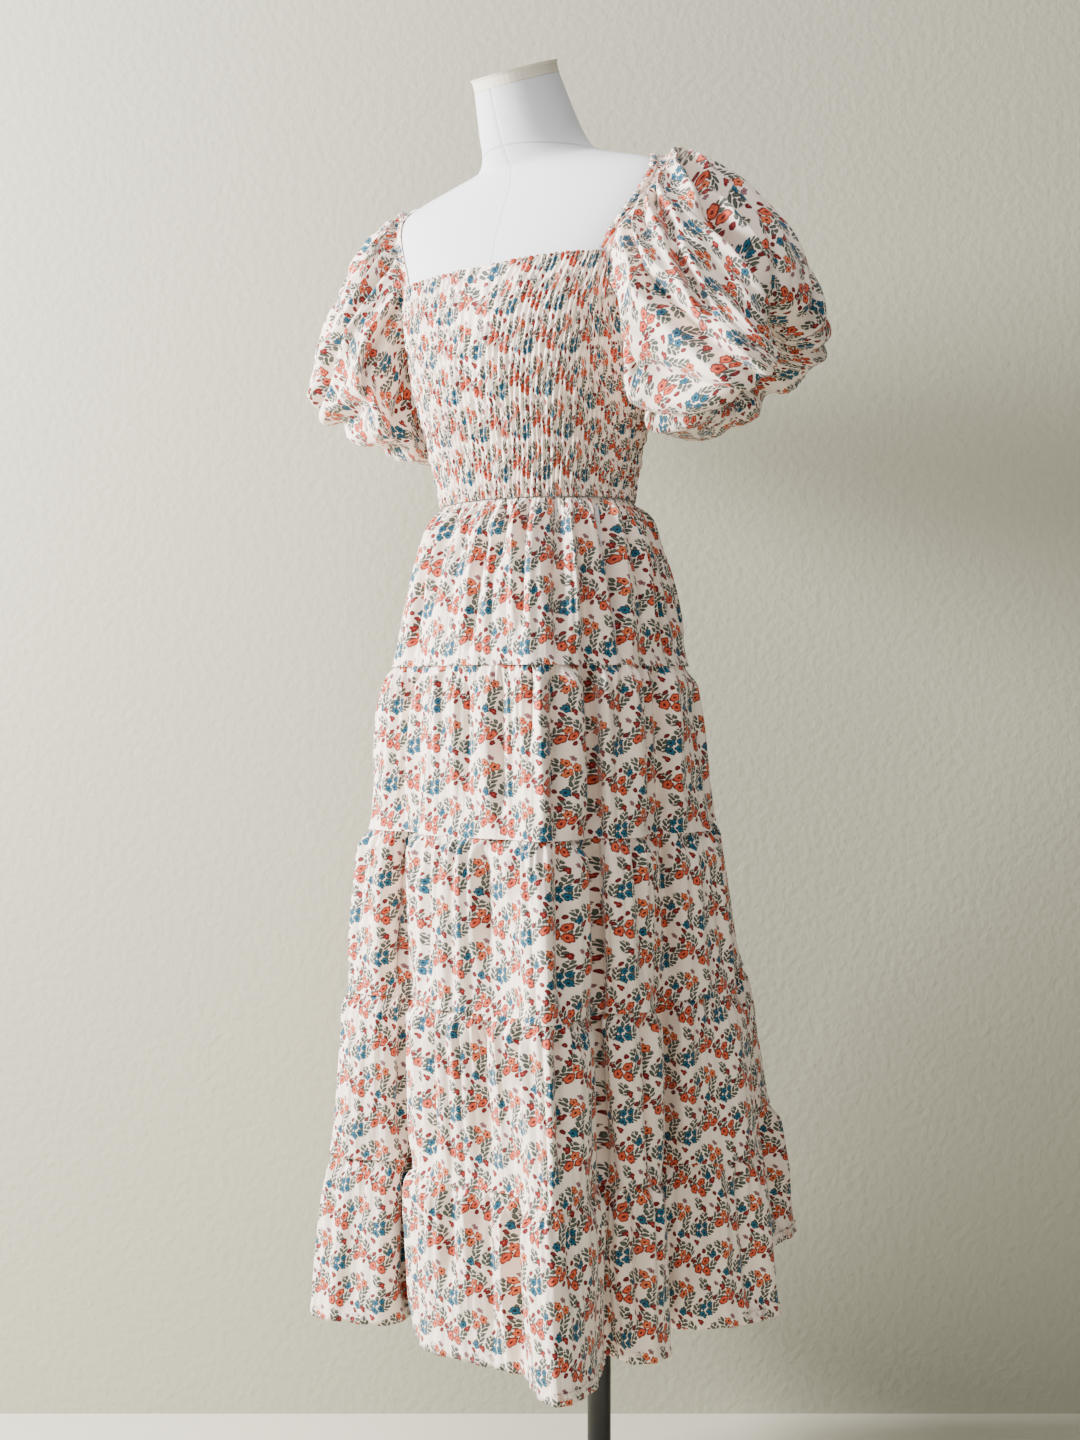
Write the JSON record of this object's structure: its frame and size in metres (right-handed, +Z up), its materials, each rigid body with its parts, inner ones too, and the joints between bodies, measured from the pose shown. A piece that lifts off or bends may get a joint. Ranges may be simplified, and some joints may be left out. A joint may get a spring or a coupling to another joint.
{
  "type": "peasant dress on dress form",
  "caption": "Square-neck peasant dress with smocked bodice, puff sleeves and gathered tiered skirt, worn by a limbless dress form on a round stand.",
  "frame": {"origin": "centre of the base plate's underside, on the floor under the stand's pole", "axes": "+Z up, -Y towards the front of the dress, +X towards the wearer's left side"},
  "size_m": [0.6616, 0.5481, 1.7656],
  "materials": {
    "printed_cotton": "matte crinkled cotton with a small floral print",
    "form_cover": "matte white jersey",
    "form_trim": "matte cream",
    "stand_paint": "satin black"
  },
  "bodies": {
    "root": {"bodice_front": "printed_cotton", "bodice_back": "printed_cotton", "skirt_tier_1_front": "printed_cotton", "skirt_tier_1_back": "printed_cotton", "skirt_tier_2": "printed_cotton", "skirt_tier_3": "printed_cotton", "skirt_tier_4": "printed_cotton", "skirt_tier_5": "printed_cotton", "pocket_left": "printed_cotton", "sleeve_left": "printed_cotton", "sleeve_right": "printed_cotton", "neck_casing_left": "printed_cotton", "neck_casing_right": "printed_cotton", "cuff_left": "printed_cotton", "cuff_right": "printed_cotton", "form_torso": "form_cover", "neck_cap": "form_trim", "pole_collar": "stand_paint", "stand_pole": "stand_paint", "base_plate": "stand_paint"}
  },
  "joints": []
}
